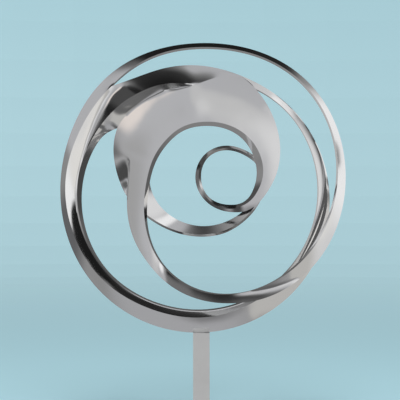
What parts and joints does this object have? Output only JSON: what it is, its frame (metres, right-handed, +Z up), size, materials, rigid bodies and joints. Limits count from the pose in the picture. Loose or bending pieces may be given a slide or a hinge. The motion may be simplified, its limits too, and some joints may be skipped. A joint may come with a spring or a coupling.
{
  "type": "abstract metal sculpture",
  "caption": "Abstract polished metal sculpture: a flat spiral of winding bands with a broad crescent, standing upright on a slim square post and a low base plate.",
  "frame": {"origin": "middle of the base plate's underside, on the floor under the post", "axes": "+Z up, -Y towards the viewer who faces the crescent's crowned side, +X to that viewer's right"},
  "size_m": [1.0378, 0.4, 1.359],
  "materials": {
    "polished_steel": "mirror-polished stainless steel",
    "grey_post": "smooth light grey paint",
    "base_plate": "smooth grey paint"
  },
  "bodies": {
    "root": {"spiral_sculpture": "polished_steel", "post": "grey_post", "base": "base_plate"}
  },
  "joints": []
}
